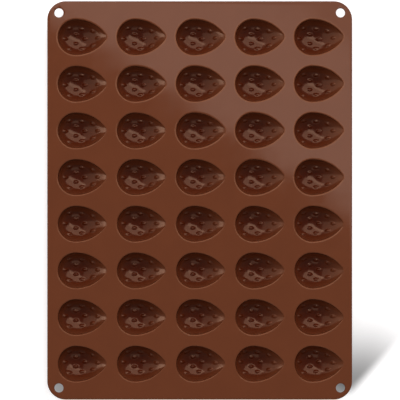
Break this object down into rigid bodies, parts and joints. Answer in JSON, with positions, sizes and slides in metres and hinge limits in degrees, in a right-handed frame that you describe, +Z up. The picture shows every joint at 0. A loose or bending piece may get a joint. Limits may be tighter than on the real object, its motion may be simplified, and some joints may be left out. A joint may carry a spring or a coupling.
{
  "type": "silicone baking mould",
  "caption": "Flexible sheet mould with rows of half-strawberry cups, seed nubs on their walls and a round hole in each corner.",
  "frame": {"origin": "on the surface that the cups stand on, under the middle of the sheet", "axes": "+Z up out of the cups' mouths, +X along the berries from their blunt ends to their tips, +Y along the sheet's long side, towards the first row"},
  "size_m": [0.3, 0.392, 0.0174],
  "materials": {
    "silicone": "satin"
  },
  "bodies": {
    "root": {"top_sheet": "silicone", "cup_row_1": "silicone", "cup_row_2": "silicone", "cup_row_3": "silicone", "cup_row_4": "silicone", "cup_row_5": "silicone", "cup_row_6": "silicone", "cup_row_7": "silicone", "cup_row_8": "silicone"}
  },
  "joints": []
}
